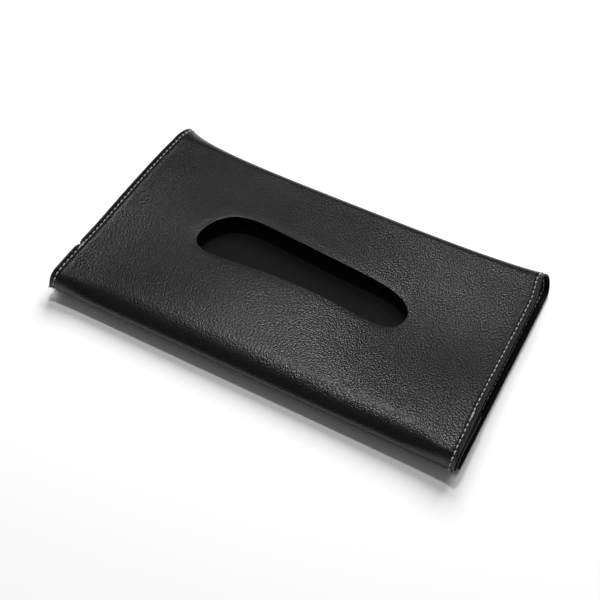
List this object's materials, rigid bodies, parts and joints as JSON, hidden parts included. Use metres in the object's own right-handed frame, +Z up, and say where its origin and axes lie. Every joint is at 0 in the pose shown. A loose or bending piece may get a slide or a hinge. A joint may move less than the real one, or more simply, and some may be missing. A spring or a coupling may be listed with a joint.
{
  "type": "car tissue holder",
  "caption": "Open-ended black leather sleeve for a tissue pack, with an oval dispensing slot, a back flap that opens and elastic bands that hold it to a sun visor.",
  "frame": {"origin": "middle of the holder, on the surface that its visor bands rest on", "axes": "+X along the holder, +Y towards the rear fold, +Z up out of the dispensing slot"},
  "size_m": [0.2354, 0.136, 0.0145],
  "materials": {
    "leather": "fine pebbled, semi-matt",
    "lining": "napped",
    "elastic": "ribbed woven elastic",
    "hook_tape": "stiff hooks",
    "loop_tape": "soft loops"
  },
  "bodies": {
    "sleeve": {"sleeve_leather": "leather", "sleeve_lining": "lining", "closure_hook_left": "hook_tape", "closure_hook_right": "hook_tape"},
    "rear_flap": {"rear_flap_leather": "leather", "rear_flap_lining": "lining", "closure_loop_left": "loop_tape", "closure_loop_right": "loop_tape"},
    "band_left": {"visor_band_left": "elastic"},
    "band_right": {"visor_band_right": "elastic"}
  },
  "joints": [
    {"name": "rear_flap_fold", "type": "hinge", "parent": "sleeve", "child": "rear_flap", "pos_m": [0, 0.0535, 0.0011], "axis": [1, 0, 0], "range_deg": [0, 150]},
    {"name": "band_left_stretch", "type": "slide", "parent": "rear_flap", "child": "band_left", "axis": [0, 0, -1], "range_m": [0, 0.022], "stiffness_N_per_m": 120},
    {"name": "band_right_stretch", "type": "slide", "parent": "rear_flap", "child": "band_right", "axis": [0, 0, -1], "range_m": [0, 0.022], "stiffness_N_per_m": 120}
  ]
}
